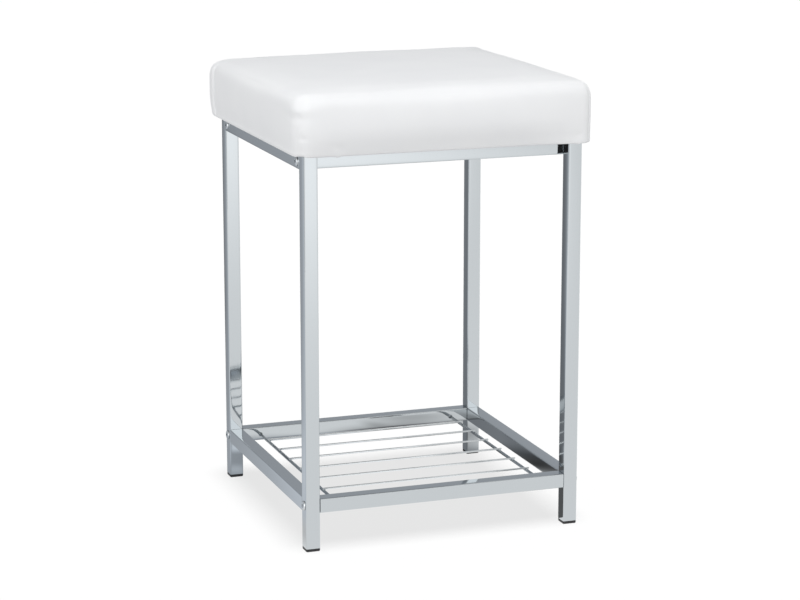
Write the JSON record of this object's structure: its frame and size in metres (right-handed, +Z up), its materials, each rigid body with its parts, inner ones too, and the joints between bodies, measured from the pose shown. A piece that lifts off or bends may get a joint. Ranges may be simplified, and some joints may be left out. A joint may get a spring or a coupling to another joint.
{
  "type": "padded stool with wire shelf",
  "caption": "Square padded stool: a crowned faux-leather seat on a chromed square-tube frame, with an open wire shelf between the lower rails.",
  "frame": {"origin": "on the floor, under the middle of the seat", "axes": "+Z up, -Y towards the front, where the long shelf wires run from left to right along X"},
  "size_m": [0.3428, 0.3428, 0.5042],
  "materials": {
    "chromed_tube": "polished",
    "chromed_wire": "polished",
    "screw_steel": "satin",
    "foot_plastic": "satin",
    "seat_faux_leather": "satin",
    "seat_foam": "matte",
    "seat_plywood": "matte",
    "underside_cloth": "matte"
  },
  "bodies": {
    "root": {"seat_cover": "seat_faux_leather", "seat_foam": "seat_foam", "seat_board": "seat_plywood", "underside_cloth": "underside_cloth", "leg_front_left": "chromed_tube", "leg_front_right": "chromed_tube", "leg_rear_left": "chromed_tube", "leg_rear_right": "chromed_tube", "foot_cap_front_left": "foot_plastic", "foot_cap_front_right": "foot_plastic", "foot_cap_rear_left": "foot_plastic", "foot_cap_rear_right": "foot_plastic", "lower_side_rail_left": "chromed_tube", "lower_side_rail_right": "chromed_tube", "upper_side_rail_left": "chromed_tube", "upper_side_rail_right": "chromed_tube", "lower_cross_rail_front": "chromed_tube", "lower_cross_rail_rear": "chromed_tube", "upper_cross_rail_front": "chromed_tube", "upper_cross_rail_rear": "chromed_tube", "rail_insert_lower_front_left": "screw_steel", "rail_insert_lower_front_right": "screw_steel", "rail_insert_lower_rear_left": "screw_steel", "rail_insert_lower_rear_right": "screw_steel", "rail_insert_upper_front_left": "screw_steel", "rail_insert_upper_front_right": "screw_steel", "rail_insert_upper_rear_left": "screw_steel", "rail_insert_upper_rear_right": "screw_steel", "frame_screw_lower_front_left": "screw_steel", "frame_screw_lower_front_right": "screw_steel", "frame_screw_lower_rear_left": "screw_steel", "frame_screw_lower_rear_right": "screw_steel", "frame_screw_upper_front_left": "screw_steel", "frame_screw_upper_front_right": "screw_steel", "frame_screw_upper_rear_left": "screw_steel", "frame_screw_upper_rear_right": "screw_steel", "seat_screw_front_left": "screw_steel", "seat_screw_front_right": "screw_steel", "seat_screw_rear_left": "screw_steel", "seat_screw_rear_right": "screw_steel", "shelf_end_wire_left": "chromed_wire", "shelf_end_wire_right": "chromed_wire", "shelf_wire_1": "chromed_wire", "shelf_wire_2": "chromed_wire", "shelf_wire_3": "chromed_wire", "shelf_wire_4": "chromed_wire", "shelf_wire_5": "chromed_wire", "shelf_wire_6": "chromed_wire"}
  },
  "joints": []
}
